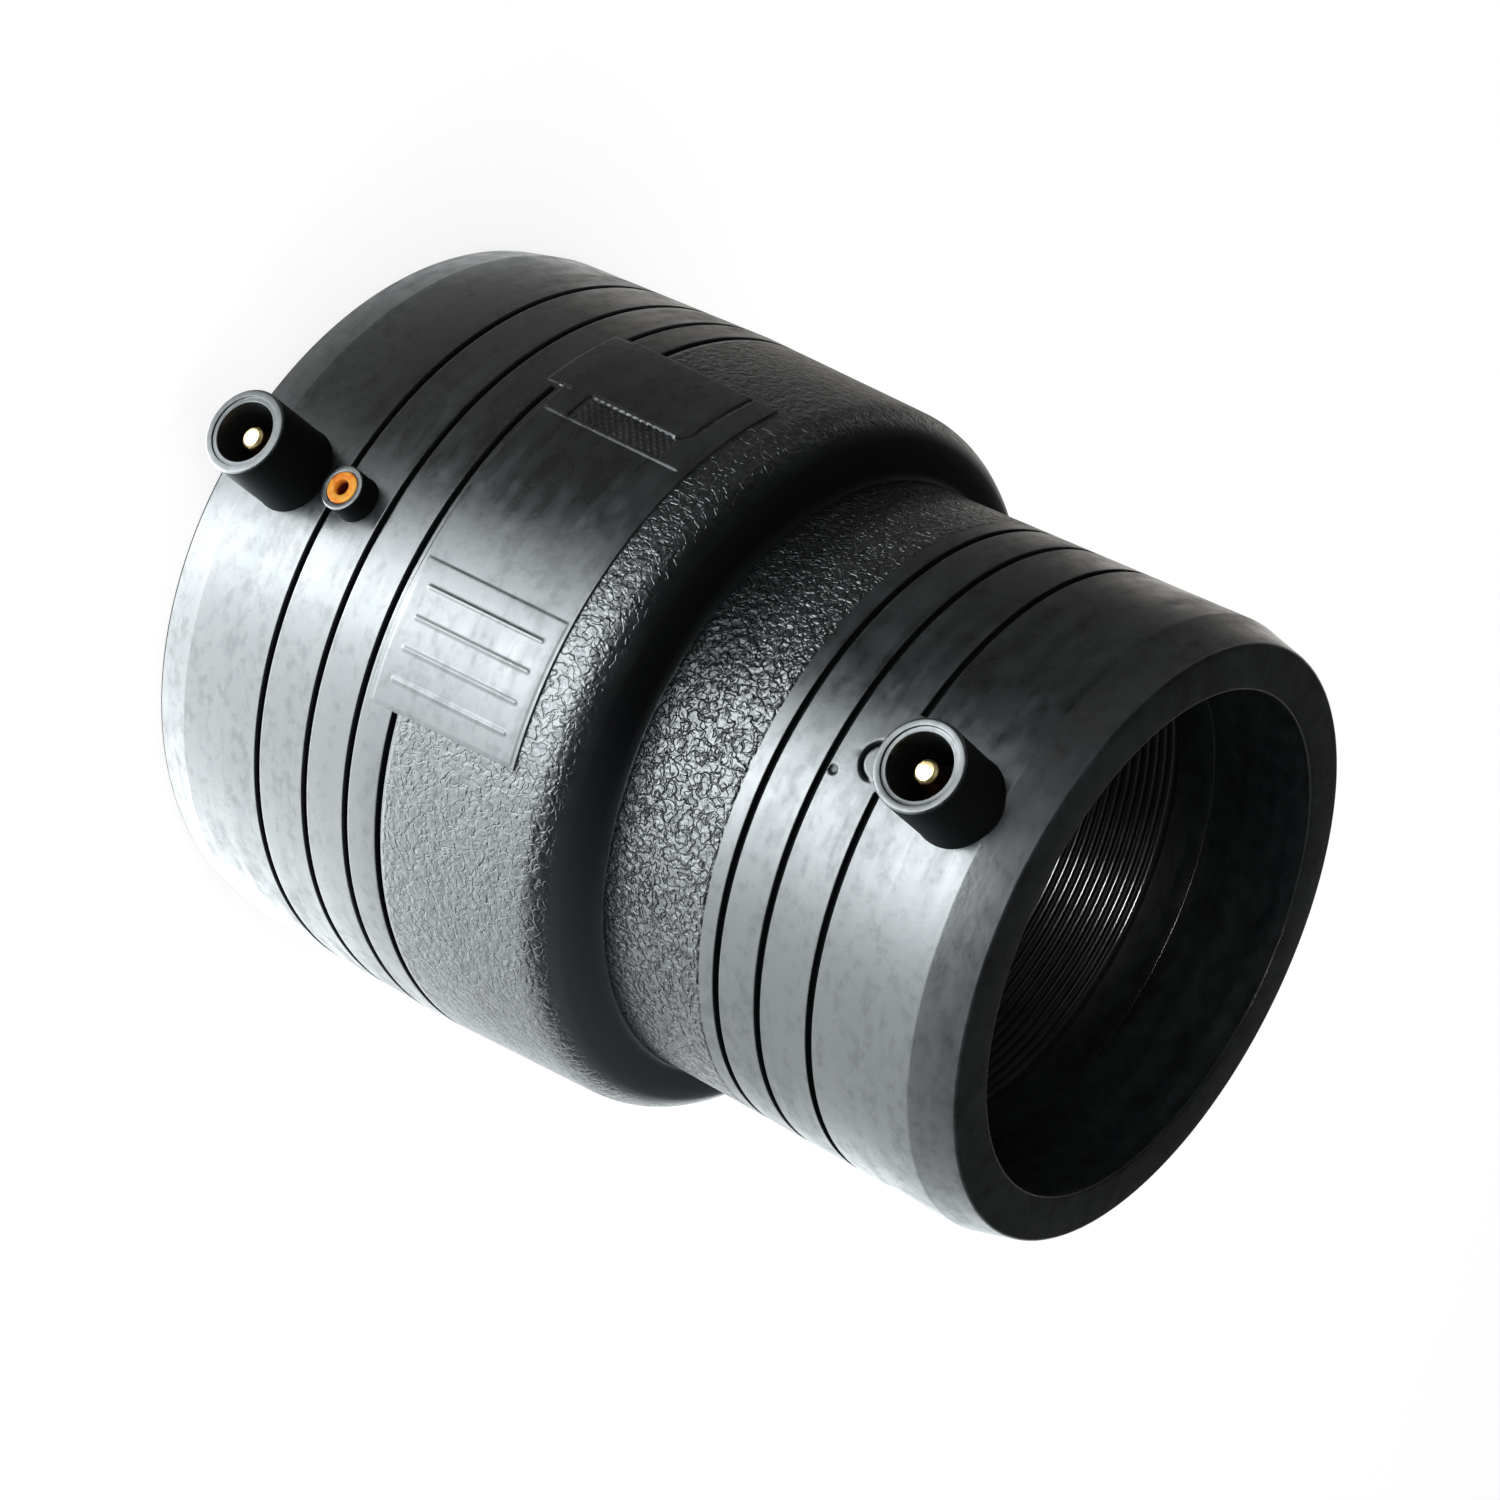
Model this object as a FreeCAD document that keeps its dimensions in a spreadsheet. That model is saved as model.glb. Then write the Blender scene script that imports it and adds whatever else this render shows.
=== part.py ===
import FreeCAD, Part
import math
import os
import re

import Sketcher
from FreeCAD import Placement, Rotation, Vector

# Electrofusion reducer, millimetres.
# The large socket's end face is the plane z = 0, the bore axis is Z and the small socket is on top.
# Both terminals point along +X.

doc = FreeCAD.newDocument("electrofusion_reducer")

# Driving dimensions: name, value, what it is
dimensions = [
    ("length", 169.3, "end face to end face"),
    ("large_od", 137.0, "large socket, outside"),
    ("large_taper", 7.8, "length of the lead-in taper at the large end"),
    ("large_taper_in", 1.4, "how far that taper draws in, on the radius"),
    ("large_bore", 111.0, "large socket, for a 110 mm pipe"),
    ("large_depth", 77.0, "insertion depth of the 110 mm pipe"),
    ("small_od", 111.5, "small socket, outside"),
    ("small_taper", 8.0, "length of the lead-in taper at the small end"),
    ("small_taper_in", 2.2, "how far that taper draws in, on the radius"),
    ("small_bore", 90.5, "small socket, for a 90 mm pipe"),
    ("small_depth", 62.0, "insertion depth of the 90 mm pipe"),
    ("mouth_step", 0.15, "how much wider the small socket's mouth is, on the radius"),
    ("mouth_depth", 20.0, "length of the wider mouth"),
    ("throat_small", 73.6, "waterway at the small pipe's stop, the bore of that pipe"),
    ("throat_large", 90.0, "waterway at the large pipe's stop, the bore of that pipe"),
    ("draft_start", 50.9, "height where the large socket starts to draw in"),
    ("crown_z", 93.85, "height of the shoulder's outer corner, before its round"),
    ("draw_in", 2.125, "how far the large socket has drawn in at that corner, on the radius"),
    ("crown_round", 8.9, "radius of the shoulder's outer round, less where the shoulder is narrow"),
    ("neck_z", 95.72, "height of the shoulder's inner corner, at the neck"),
    ("line_width", 1.2, "ring line, width at the surface"),
    ("line_depth", 0.9, "ring line, depth of its V"),
    ("large_line_a", 26.65, "ring lines on the large socket, height above the large end face"),
    ("large_line_b", 38.46, "second ring line"),
    ("large_line_c", 48.51, "third ring line"),
    ("large_line_d", 56.17, "fourth ring line"),
    ("small_line_a", 28.26, "ring lines on the small socket, distance below the small end face"),
    ("small_line_b", 39.10, "second ring line"),
    ("small_line_c", 47.92, "third ring line"),
    ("line_stop_start", 350.1, "azimuth where the small socket's first line stops, degrees"),
    ("line_stop_angle", 14.5, "angle that it leaves open at the terminal, degrees"),
    ("panel_rise", 0.3, "data panel, height above the socket"),
    ("panel_top", 82.8, "data panel, upper edge"),
    ("panel_foot", 50.0, "data panel, lower edge"),
    ("panel_tab_foot", 45.3, "lower edge of the tab beside the panel"),
    ("panel_start", 315.0, "azimuth of the tab's free edge, degrees"),
    ("panel_tab", 15.6, "angle of the tab, degrees"),
    ("panel_angle", 54.25, "angle of the panel beside the tab, degrees"),
    ("shroud_od", 15.6, "terminal shroud, outside"),
    ("shroud_id", 11.0, "terminal shroud, inside"),
    ("shroud_rise", 15.5, "shroud rim above the socket"),
    ("shroud_floor", 1.0, "floor inside the shroud above the socket"),
    ("shroud_root", 4.0, "how far the shroud is carried into the wall"),
    ("rim_chamfer", 0.5, "outer chamfer of the shroud rim"),
    ("rim_step_od", 12.8, "step in the shroud rim, diameter"),
    ("rim_step_depth", 0.45, "step in the shroud rim, depth"),
    ("large_terminal", 15.3, "terminal on the large socket, from the large end face"),
    ("small_terminal", 15.1, "terminal on the small socket, from the small end face"),
    ("pin_od", 4.0, "contact pin, diameter"),
    ("pin_sink", 2.1, "pin tip below the shroud rim"),
    ("pin_tip_chamfer", 0.75, "chamfer of the pin tip"),
    ("pin_foot_od", 5.0, "thicker foot that holds the pin in the wall, with the hole for the wire"),
    ("pin_foot_below", 1.8, "end of the foot below the wire"),
    ("indicator_pitch", 15.85, "fusion indicator, from the terminal beside it"),
    ("boss_od", 8.2, "boss round the fusion indicator"),
    ("boss_rise", 5.0, "boss above the socket"),
    ("indicator_od", 5.8, "fusion indicator, head diameter"),
    ("indicator_proud", 0.2, "head above the boss"),
    ("indicator_seat", 5.0, "depth of the head's seat in the boss"),
    ("indicator_stem", 3.0, "fusion indicator, stem diameter"),
    ("indicator_bore", 2.5, "blind hole in the head, diameter"),
    ("indicator_bore_depth", 3.6, "blind hole in the head, depth"),
    ("indicator_cover", 2.8, "plastic left between the stem and the winding"),
    ("disc_od", 7.9, "ring mark beside the small terminal, outside"),
    ("disc_line", 0.45, "width of that ring mark"),
    ("disc_depth", 0.5, "depth of that ring mark"),
    ("wire_od", 1.7, "coated heating wire, diameter"),
    ("wire_pitch", 1.76, "heating wire, one turn to the next"),
    ("large_turns", 17, "turns in the large socket"),
    ("small_turns", 12, "turns in the small socket"),
    ("winding_inset", 27.5, "start of each winding from its end face"),
    ("lead_lift", 2.2, "leads lie this much deeper in the wall than the windings"),
    ("link_bend", 12.0, "straight run of the link wire beyond each winding"),
    ("moulded_gap", 0.02, "clearance round everything that is moulded in"),
]

sheet = doc.addObject("Spreadsheet::Sheet", "dims")
for row, (alias, value, note) in enumerate(dimensions, start=1):
    sheet.set(f"A{row}", alias)
    sheet.set(f"B{row}", str(value))
    sheet.set(f"C{row}", note)
    sheet.setAlias(f"B{row}", alias)
doc.recompute()


def cells(text):
    """The same expression with every size's name pointing at its cell."""
    return re.sub(r"\b([a-z][a-z_]+)\b(?!\()", r"<<dims>>.\1", str(text))


def size(text):
    """The value of an expression on the driving dimensions."""
    return float(sheet.evalExpression(cells(text).replace("<<dims>>.", "")))


# Places worked out from the driving dimensions
large_r = "(large_od / 2)"
small_r = "(small_od / 2)"
crown_r = "(large_od / 2 - draw_in)"
shoulder_round = f"min(crown_round; 0.84 * ({crown_r} - {small_r}))"
large_winding_end = "(winding_inset + large_turns * wire_pitch)"
small_winding_start = "(length - winding_inset)"
small_winding_end = "(length - winding_inset - small_turns * wire_pitch)"
large_winding_r = "(large_bore / 2 + wire_od / 2)"
small_winding_r = "(small_bore / 2 + wire_od / 2)"
large_lead_r = f"({large_winding_r} + lead_lift)"
small_lead_r = f"({small_winding_r} + lead_lift)"
indicator_z = "(large_terminal + indicator_pitch)"
disc_z = "(length - small_terminal - indicator_pitch)"
terminals = {
    "large": {"z": "large_terminal", "surface": large_r, "lead": large_lead_r, "outwards": "-"},
    "small": {"z": "(length - small_terminal)", "surface": small_r, "lead": small_lead_r, "outwards": "+"},
}


def new_body(label):
    body = doc.addObject("PartDesign::Body", label)
    body.Label = label
    return body


def new_sketch(body, name, plane, offset=None, turn=None):
    """A sketch on one of the body's own planes, moved along its normal or turned about Z."""
    sketch = body.newObject("Sketcher::SketchObject", name)
    origin_plane = next(f for f in body.Origin.OriginFeatures if f.Role == plane)
    sketch.AttachmentSupport = [(origin_plane, "")]
    sketch.MapMode = "FlatFace"
    if turn is not None:
        sketch.AttachmentOffset = Placement(Vector(), Rotation(Vector(0, 1, 0), size(turn)))
        sketch.setExpression("AttachmentOffset.Rotation.Angle", cells(turn))
    if offset is not None:
        sketch.setExpression("AttachmentOffset.Base.z", cells(offset))
    return sketch


def place_point(sketch, geometry, point, x, y):
    for kind, value in (("DistanceX", x), ("DistanceY", y)):
        index = sketch.addConstraint(Sketcher.Constraint(kind, -1, 1, geometry, point, size(value)))
        sketch.setExpression(f"Constraints[{index}]", cells(value))


def tangent_arc(before, corner, after, radius):
    """Where an arc of this radius leaves the line before a corner, its middle, and where it joins the next."""
    back = (before - corner).normalize()
    ahead = (after - corner).normalize()
    half = back.getAngle(ahead) / 2
    inwards = (back + ahead).normalize()
    reach = radius / math.tan(half)
    middle = corner + inwards * (radius / math.sin(half) - radius)
    return corner + back * reach, middle, corner + ahead * reach


def add_outline(sketch, corners, closed=True):
    """Straight lines from corner to corner. A corner with a third value is rounded to that radius."""
    points = [Vector(size(corner[0]), size(corner[1]), 0) for corner in corners]
    arcs = {}
    for number, corner in enumerate(corners):
        if len(corner) == 3:
            following = points[(number + 1) % len(points)]
            arcs[number] = tangent_arc(points[number - 1], points[number], following, size(corner[2]))
    lines = []
    for number in range(len(points) if closed else len(points) - 1):
        following = (number + 1) % len(points)
        start = arcs[number][2] if number in arcs else points[number]
        end = arcs[following][0] if following in arcs else points[following]
        lines.append(sketch.addGeometry(Part.LineSegment(start, end), False))
    for number, corner in enumerate(corners):
        before = lines[number - 1] if closed or number else None
        after = lines[number] if number < len(lines) else None
        if before is None:
            place_point(sketch, after, 1, *corner)
        elif after is None:
            place_point(sketch, before, 2, *corner)
        elif number in arcs:
            join_with_arc(sketch, before, after, arcs[number], *corner)
        else:
            sketch.addConstraint(Sketcher.Constraint("Coincident", before, 2, after, 1))
            place_point(sketch, after, 1, *corner)


def join_with_arc(sketch, before, after, arc_points, x, y, radius):
    """A tangent arc between two lines, with the corner they would meet at kept as a construction point."""
    arc = sketch.addGeometry(Part.Arc(*arc_points), False)
    starts_here = sketch.getPoint(arc, 1).distanceToPoint(arc_points[0]) < 1e-6
    near, far = (1, 2) if starts_here else (2, 1)
    sketch.addConstraint(Sketcher.Constraint("Tangent", before, 2, arc, near))
    sketch.addConstraint(Sketcher.Constraint("Tangent", arc, far, after, 1))
    corner = sketch.addGeometry(Part.Point(Vector(size(x), size(y), 0)), True)
    sketch.addConstraint(Sketcher.Constraint("PointOnObject", corner, 1, before))
    sketch.addConstraint(Sketcher.Constraint("PointOnObject", corner, 1, after))
    place_point(sketch, corner, 1, x, y)
    index = sketch.addConstraint(Sketcher.Constraint("Radius", arc, size(radius)))
    sketch.setExpression(f"Constraints[{index}]", cells(radius))


def add_circle(sketch, x, y, diameter):
    circle = sketch.addGeometry(Part.Circle(Vector(size(x), size(y), 0), Vector(0, 0, 1), size(diameter) / 2), False)
    place_point(sketch, circle, 3, x, y)
    index = sketch.addConstraint(Sketcher.Constraint("Diameter", circle, size(diameter)))
    sketch.setExpression(f"Constraints[{index}]", cells(diameter))


def turned(body, kind, name, outlines, start=None, angle=None):
    """Outlines of (radius, height) turned about Z, as a Revolution or a Groove."""
    sketch = new_sketch(body, f"{name}_section", "XZ_Plane", turn=start)
    for outline in outlines:
        add_outline(sketch, outline)
    feature = body.newObject(f"PartDesign::{kind}", name)
    feature.Profile = sketch
    feature.ReferenceAxis = (sketch, ["V_Axis"])
    feature.Angle = 360.0
    if angle is not None:
        feature.setExpression("Angle", cells(angle))
    doc.recompute()
    return feature


def post(body, name, z, bottom, top, diameter):
    """A round post along X from one radius to another, added to the body."""
    sketch = new_sketch(body, f"{name}_circle", "YZ_Plane", offset=bottom)
    add_circle(sketch, 0, z, diameter)
    pad = body.newObject("PartDesign::Pad", name)
    pad.Profile = sketch
    pad.setExpression("Length", cells(f"{top} - ({bottom})"))
    doc.recompute()
    return pad


def drilled(body, name, z, top, depth, diameter, core=None):
    """A round hole along X, from a radius inwards. With a core diameter it is a ring."""
    sketch = new_sketch(body, f"{name}_circle", "YZ_Plane", offset=top)
    add_circle(sketch, 0, z, diameter)
    if core is not None:
        add_circle(sketch, 0, z, core)
    pocket = body.newObject("PartDesign::Pocket", name)
    pocket.Profile = sketch
    pocket.setExpression("Length", cells(depth))
    doc.recompute()
    return pocket


def circle_edges(feature, radius, centre):
    """Names of the feature's circular edges with this radius and centre."""
    names = []
    for number, edge in enumerate(feature.Shape.Edges, start=1):
        curve = edge.Curve
        if isinstance(curve, Part.Circle) and abs(curve.Radius - radius) < 1e-4:
            if curve.Center.distanceToPoint(centre) < 1e-4:
                names.append(f"Edge{number}")
    return names


def chamfer(body, name, base, radius, centre, amount):
    """A chamfer on the base's circular edges with this radius and centre."""
    feature = body.newObject("PartDesign::Chamfer", name)
    feature.Base = (base, circle_edges(base, size(radius), centre))
    feature.setExpression("Size", cells(amount))
    doc.recompute()
    return feature


def wire_run(body, kind, name, route, diameter):
    """A round run along a route of (radius, height) corners in the plane y = 0."""
    spine = new_sketch(body, f"{name}_route", "XZ_Plane")
    add_outline(spine, route, closed=False)
    (x, z), (next_x, next_z) = route[:2]
    if x == next_x:
        section = new_sketch(body, f"{name}_circle", "XY_Plane", offset=z)
        add_circle(section, x, 0, diameter)
    else:
        section = new_sketch(body, f"{name}_circle", "YZ_Plane", offset=x)
        add_circle(section, 0, z, diameter)
    pipe = body.newObject(f"PartDesign::{kind}", name)
    pipe.Profile = section
    pipe.Spine = (spine, [])
    pipe.Transition = "Right corner"
    doc.recompute()
    return pipe


# Routes of the wire beside its two windings, shared by the wire and its channels in the moulding
half_wire = "wire_od / 2"
large_first_turn = f"(winding_inset + {half_wire})"
large_last_turn = f"({large_winding_end} - {half_wire})"
small_last_turn = f"({small_winding_end} + {half_wire})"
small_first_turn = f"({small_winding_start} - {half_wire})"
large_lead_route = [
    (large_lead_r, "(large_terminal - pin_foot_od / 2)"),
    (large_lead_r, large_first_turn),
    (large_winding_r, large_first_turn),
]
small_lead_route = [
    (small_lead_r, "(length - small_terminal + pin_foot_od / 2)"),
    (small_lead_r, small_first_turn),
    (small_winding_r, small_first_turn),
]
link_route = [
    (large_winding_r, large_last_turn),
    (large_lead_r, large_last_turn),
    (large_lead_r, f"({large_last_turn} + link_bend)"),
    (small_lead_r, f"({small_last_turn} - link_bend)"),
    (small_lead_r, small_last_turn),
    (small_winding_r, small_last_turn),
]


def winding_outline(bore, start, end, gap):
    """Section of a winding's band: as deep as the wire, open to the bore."""
    inner = f"({bore} / 2)"
    outer = f"({bore} / 2 + wire_od + {gap})"
    low, high = f"({start} - {gap})", f"({end} + {gap})"
    return [(inner, low), (outer, low), (outer, high), (inner, high)]


def ring_line(radius, z):
    """V section of one ring line, carried on past the surface."""
    return [
        (f"{radius} - line_depth", z),
        (f"{radius} + line_depth", f"{z} - line_width"),
        (f"{radius} + line_depth", f"{z} + line_width"),
    ]


def make_moulding():
    body = new_body("body")
    small_mouth = "(small_bore / 2 + mouth_step)"
    small_stop = "(length - small_depth)"
    turned(body, "Revolution", "tube", [[
        ("large_bore / 2", 0),
        (f"{large_r} - large_taper_in", 0),
        (large_r, "large_taper"),
        (large_r, "draft_start"),
        (crown_r, "crown_z", shoulder_round),
        (small_r, "neck_z"),
        (small_r, "length - small_taper"),
        (f"{small_r} - small_taper_in", "length"),
        (small_mouth, "length"),
        (small_mouth, "length - mouth_depth"),
        ("small_bore / 2", "length - mouth_depth"),
        ("small_bore / 2", small_stop),
        ("throat_small / 2", small_stop),
        ("throat_large / 2", "large_depth"),
        ("large_bore / 2", "large_depth"),
    ]])

    large_lines = ["large_line_a", "large_line_b", "large_line_c", "large_line_d"]
    small_lines = ["small_line_a", "small_line_b", "small_line_c"]
    turned(body, "Groove", "ring_lines",
           [ring_line(large_r, z) for z in large_lines]
           + [ring_line(small_r, f"(length - {z})") for z in small_lines])

    # the small socket's first line stops short of the terminal on both sides
    turned(body, "Revolution", "line_stop", [[
        (f"{small_r} - 2 * line_depth", "length - small_line_a - line_width"),
        (small_r, "length - small_line_a - line_width"),
        (small_r, "length - small_line_a + line_width"),
        (f"{small_r} - 2 * line_depth", "length - small_line_a + line_width"),
    ]], start="line_stop_start", angle="line_stop_angle")

    # the data panel follows the socket and covers the lines that run into it
    top_in = "(draw_in * (panel_top - draft_start) / (crown_z - draft_start))"
    for name, foot, start, angle in (
        ("panel_tab", "panel_tab_foot", "panel_start", "panel_tab"),
        ("panel", "panel_foot", "panel_start + panel_tab - 360", "panel_angle"),
    ):
        turned(body, "Revolution", name, [[
            (f"{large_r} - 2 * line_depth - {top_in}", foot),
            (f"{large_r} + panel_rise", foot),
            (f"{large_r} + panel_rise", "draft_start"),
            (f"{large_r} + panel_rise - {top_in}", "panel_top"),
            (f"{large_r} - 2 * line_depth - {top_in}", "panel_top"),
        ]], start=start, angle=angle)

    for side, at in terminals.items():
        z, surface = at["z"], at["surface"]
        rim, floor = f"({surface} + shroud_rise)", f"({surface} + shroud_floor)"
        foot = f"({at['lead']} - pin_foot_below)"
        shroud = post(body, f"{side}_shroud", z, f"{surface} - shroud_root", rim, "shroud_od")
        rim_centre = Vector(size(rim), 0, size(z))
        chamfer(body, f"{side}_rim_chamfer", shroud, "shroud_od / 2", rim_centre, "rim_chamfer")
        drilled(body, f"{side}_shroud_bore", z, rim, f"{rim} - {floor}", "shroud_id")
        drilled(body, f"{side}_rim_step", z, rim, "rim_step_depth", "rim_step_od")
        drilled(body, f"{side}_foot_seat", z, floor, f"{floor} - {foot} + moulded_gap",
                "pin_foot_od + 2 * moulded_gap")

    # fusion indicator's boss, and the stepped seat in it
    boss_top = f"({large_r} + boss_rise)"
    stem_end = "(large_bore / 2 + wire_od + indicator_cover)"
    post(body, "boss", indicator_z, f"{large_r} - shroud_root", boss_top, "boss_od")
    drilled(body, "head_seat", indicator_z, boss_top, "indicator_seat + moulded_gap",
            "indicator_od + 2 * moulded_gap")
    drilled(body, "stem_seat", indicator_z, boss_top, f"{boss_top} - {stem_end} + moulded_gap",
            "indicator_stem + 2 * moulded_gap")
    drilled(body, "ring_mark", disc_z, f"{small_r} + disc_depth", "2 * disc_depth", "disc_od",
            core="disc_od - 2 * disc_line")

    # room for the wound wire and for its runs through the wall
    turned(body, "Groove", "winding_seats", [
        winding_outline("large_bore", "winding_inset", large_winding_end, "moulded_gap"),
        winding_outline("small_bore", small_winding_end, small_winding_start, "moulded_gap"),
    ])
    channel = "wire_od + 2 * moulded_gap"
    for name, route in (("large_lead", large_lead_route), ("link", link_route), ("small_lead", small_lead_route)):
        wire_run(body, "SubtractivePipe", f"{name}_channel", route, channel)
    return body


def make_heating_wire():
    """One wire from terminal to terminal: lead, winding, link, winding, lead."""
    body = new_body("heating_wire")
    wire_run(body, "AdditivePipe", "link", link_route, "wire_od")
    turned(body, "Revolution", "large_winding",
           [winding_outline("large_bore", "winding_inset", large_winding_end, 0)])
    turned(body, "Revolution", "small_winding",
           [winding_outline("small_bore", small_winding_end, small_winding_start, 0)])
    wire_run(body, "AdditivePipe", "large_lead", large_lead_route, "wire_od")
    wire_run(body, "AdditivePipe", "small_lead", small_lead_route, "wire_od")
    return body


def make_terminal_pin(side):
    """Contact pin with a chamfered tip and a thicker foot, cross-drilled for the wire."""
    at = terminals[side]
    z, surface, lead = at["z"], at["surface"], at["lead"]
    floor, tip = f"({surface} + shroud_floor)", f"({surface} + shroud_rise - pin_sink)"
    body = new_body(f"terminal_pin_{side}")
    shank = post(body, "shank", z, floor, tip, "pin_od")
    chamfer(body, "tip", shank, "pin_od / 2", Vector(size(tip), 0, size(z)), "pin_tip_chamfer")
    post(body, "foot", z, f"{lead} - pin_foot_below", floor, "pin_foot_od")
    sketch = new_sketch(body, "wire_hole_circle", "XY_Plane", offset=z)
    add_circle(sketch, lead, 0, "wire_od + 2 * moulded_gap")
    hole = body.newObject("PartDesign::Pocket", "wire_hole")
    hole.Profile = sketch
    hole.Midplane = True
    hole.setExpression("Length", cells("2 * pin_foot_od"))
    doc.recompute()
    return body


def make_fusion_indicator():
    """Stepped plug that the melt pushes out, with a blind hole in its head."""
    boss_top = f"({large_r} + boss_rise)"
    head_foot = f"({boss_top} - indicator_seat)"
    head_top = f"({boss_top} + indicator_proud)"
    stem_end = "(large_bore / 2 + wire_od + indicator_cover)"
    body = new_body("fusion_indicator")
    head = post(body, "head", indicator_z, head_foot, head_top, "indicator_od")
    chamfer(body, "head_edge", head, "indicator_od / 2", Vector(size(head_top), 0, size(indicator_z)),
            "indicator_proud")
    post(body, "stem", indicator_z, stem_end, head_foot, "indicator_stem")
    drilled(body, "head_bore", indicator_z, head_top, "indicator_bore_depth", "indicator_bore")
    return body


parts = [
    make_moulding(),
    make_heating_wire(),
    make_terminal_pin("large"),
    make_terminal_pin("small"),
    make_fusion_indicator(),
]
doc.recompute()

for thing in doc.Objects:
    if "Invalid" in thing.State or "Error" in thing.State:
        raise RuntimeError(f"{thing.Label} failed: {thing.State}")
for part in parts:
    if part.Shape.isNull() or not part.Shape.isValid() or len(part.Shape.Solids) != 1:
        raise RuntimeError(f"{part.Label} is not one sound solid")

os.makedirs("parts", exist_ok=True)
for part in parts:
    part.Shape.exportStep(os.path.join("parts", f"{part.Label}.step"))
    box = part.Shape.BoundBox
    print(f"{part.Label}: {part.Shape.Volume:.1f} mm3, x {box.XMin:.2f}..{box.XMax:.2f},"
          f" y {box.YMin:.2f}..{box.YMax:.2f}, z {box.ZMin:.2f}..{box.ZMax:.2f}")
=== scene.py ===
import math
import bpy
import numpy as np
from mathutils import Matrix, Vector


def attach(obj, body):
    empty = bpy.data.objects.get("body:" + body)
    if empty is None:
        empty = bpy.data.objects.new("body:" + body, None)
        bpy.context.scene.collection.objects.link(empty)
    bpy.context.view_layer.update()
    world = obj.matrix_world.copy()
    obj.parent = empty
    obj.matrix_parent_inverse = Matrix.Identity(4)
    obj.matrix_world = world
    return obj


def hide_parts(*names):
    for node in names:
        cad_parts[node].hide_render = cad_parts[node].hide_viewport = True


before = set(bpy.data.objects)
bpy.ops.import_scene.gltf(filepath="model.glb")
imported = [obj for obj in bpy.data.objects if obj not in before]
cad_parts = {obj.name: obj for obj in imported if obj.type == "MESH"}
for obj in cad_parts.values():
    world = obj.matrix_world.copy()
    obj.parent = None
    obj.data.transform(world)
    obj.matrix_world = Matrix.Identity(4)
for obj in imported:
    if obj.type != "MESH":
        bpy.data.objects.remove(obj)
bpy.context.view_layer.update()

mm = 0.001                       # everything below is in millimetres until it becomes a mesh


# Meshes from arrays

def unit(v):
    # vectors one long
    return v / np.linalg.norm(v, axis=-1, keepdims=True)


def ease(x):
    # 0 below 0, 1 above 1, smooth between
    x = np.clip(x, 0, 1)
    return x * x * (3 - 2 * x)


def turned(radius, turn, height):
    # points at these distances from the axis, azimuths in radians and heights
    return np.stack(np.broadcast_arrays(radius * np.cos(turn), radius * np.sin(turn), height), -1)


def gridFaces(rows, columns, wrapRows=False, wrapColumns=True):
    # quads of a grid whose vertices run along the columns first
    r = np.arange(rows if wrapRows else rows - 1)[:, None]
    c = np.arange(columns if wrapColumns else columns - 1)[None, :]
    r2, c2 = (r + 1) % rows, (c + 1) % columns
    corners = [r * columns + c, r * columns + c2, r2 * columns + c2, r2 * columns + c]
    return np.stack(corners, -1).reshape(-1, 4)


def fanFaces(ring, pole, flip=False):
    # triangles from a closed ring of vertices to one pole
    ahead = np.roll(ring, -1)
    order = (ahead, ring) if flip else (ring, ahead)
    return np.stack([order[0], order[1], np.full(len(ring), pole)], -1)


def capped(rings, start, stop):
    # A tube through closed rings of points, ended at each side by one point: points, quads, triangles.
    rows, count = rings.shape[:2]
    points = np.concatenate([rings.reshape(-1, 3), [start], [stop]])
    first, last = np.arange(count), np.arange(count) + (rows - 1) * count
    triangles = [fanFaces(first, rows * count, flip=True), fanFaces(last, rows * count + 1)]
    return points, gridFaces(rows, count), np.concatenate(triangles)


def makePiece(name, vertices, quads, triangles=None, sharp=None, **marks):
    faces = quads.tolist() + (triangles.tolist() if triangles is not None else [])
    mesh = bpy.data.meshes.new(name)
    mesh.from_pydata((vertices * mm).tolist(), [], faces)
    mesh.polygons.foreach_set("use_smooth", np.ones(len(faces), bool))
    for mark, values in marks.items():     # numbers on the points, read by the material
        numbers = mesh.attributes.new(mark, "FLOAT", "POINT").data
        numbers.foreach_set("value", values.astype(np.float32).ravel())
    if sharp is not None:
        mesh.set_sharp_from_angle(angle=math.radians(sharp))
    piece = bpy.data.objects.new(name, mesh)
    bpy.context.scene.collection.objects.link(piece)
    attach(piece, "root")
    return piece


def softCorners(corners, closed=True):
    # Outline through corners of (radius, height, rounding), in which each corner becomes an arc of that
    # rounding, tangent to both of its sides.
    points = np.array([corner[:2] for corner in corners], float)
    runs = []
    for i, (*_, rounding) in enumerate(corners):
        atEnd = not closed and i in (0, len(corners) - 1)
        if rounding == 0 or atEnd:
            runs.append(points[i][None])
            continue
        back = unit(points[i - 1] - points[i])
        ahead = unit(points[(i + 1) % len(points)] - points[i])
        half = math.acos(float(np.clip(back @ ahead, -1, 1))) / 2
        reach = rounding / math.tan(half)
        middle = points[i] + unit(back + ahead) * rounding / math.sin(half)
        start, stop = points[i] + back * reach - middle, points[i] + ahead * reach - middle
        turn = math.pi - 2 * half
        steps = 3 if rounding < 0.2 else max(4, int(turn * 8))     # the smallest arcs have two sides
        t = np.linspace(0, 1, steps)[:, None]
        arc = (np.sin((1 - t) * turn) * start + np.sin(t * turn) * stop) / math.sin(turn)
        runs.append(middle + arc)
    return np.concatenate(runs)


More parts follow.
